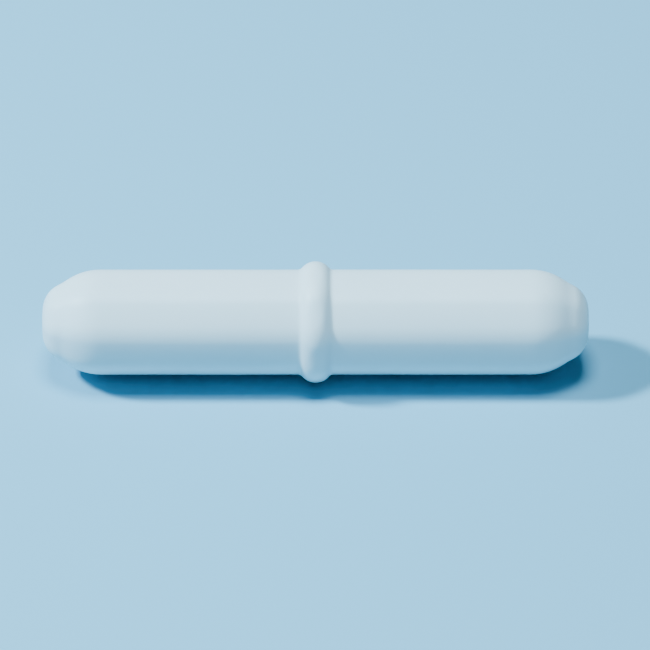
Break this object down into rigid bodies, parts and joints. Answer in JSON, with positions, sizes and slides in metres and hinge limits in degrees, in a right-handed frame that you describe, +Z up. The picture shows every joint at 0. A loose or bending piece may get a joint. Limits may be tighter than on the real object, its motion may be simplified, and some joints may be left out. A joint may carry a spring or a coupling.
{
  "type": "magnetic stir bar",
  "caption": "Small white stirring bar: soft-edged octagonal plastic body with rounded ends and a raised pivot ring, sealed around a rod magnet.",
  "frame": {"origin": "centre of the bar, on its long axis in the middle of the pivot ring", "axes": "+X along the bar, +Z up with one facet underneath, +Y across"},
  "size_m": [0.0412, 0.009, 0.009],
  "materials": {
    "ptfe": "satin white moulded PTFE",
    "magnet": "ground cast alnico"
  },
  "bodies": {
    "root": {"ptfe_jacket": "ptfe", "magnet_core": "magnet"}
  },
  "joints": []
}
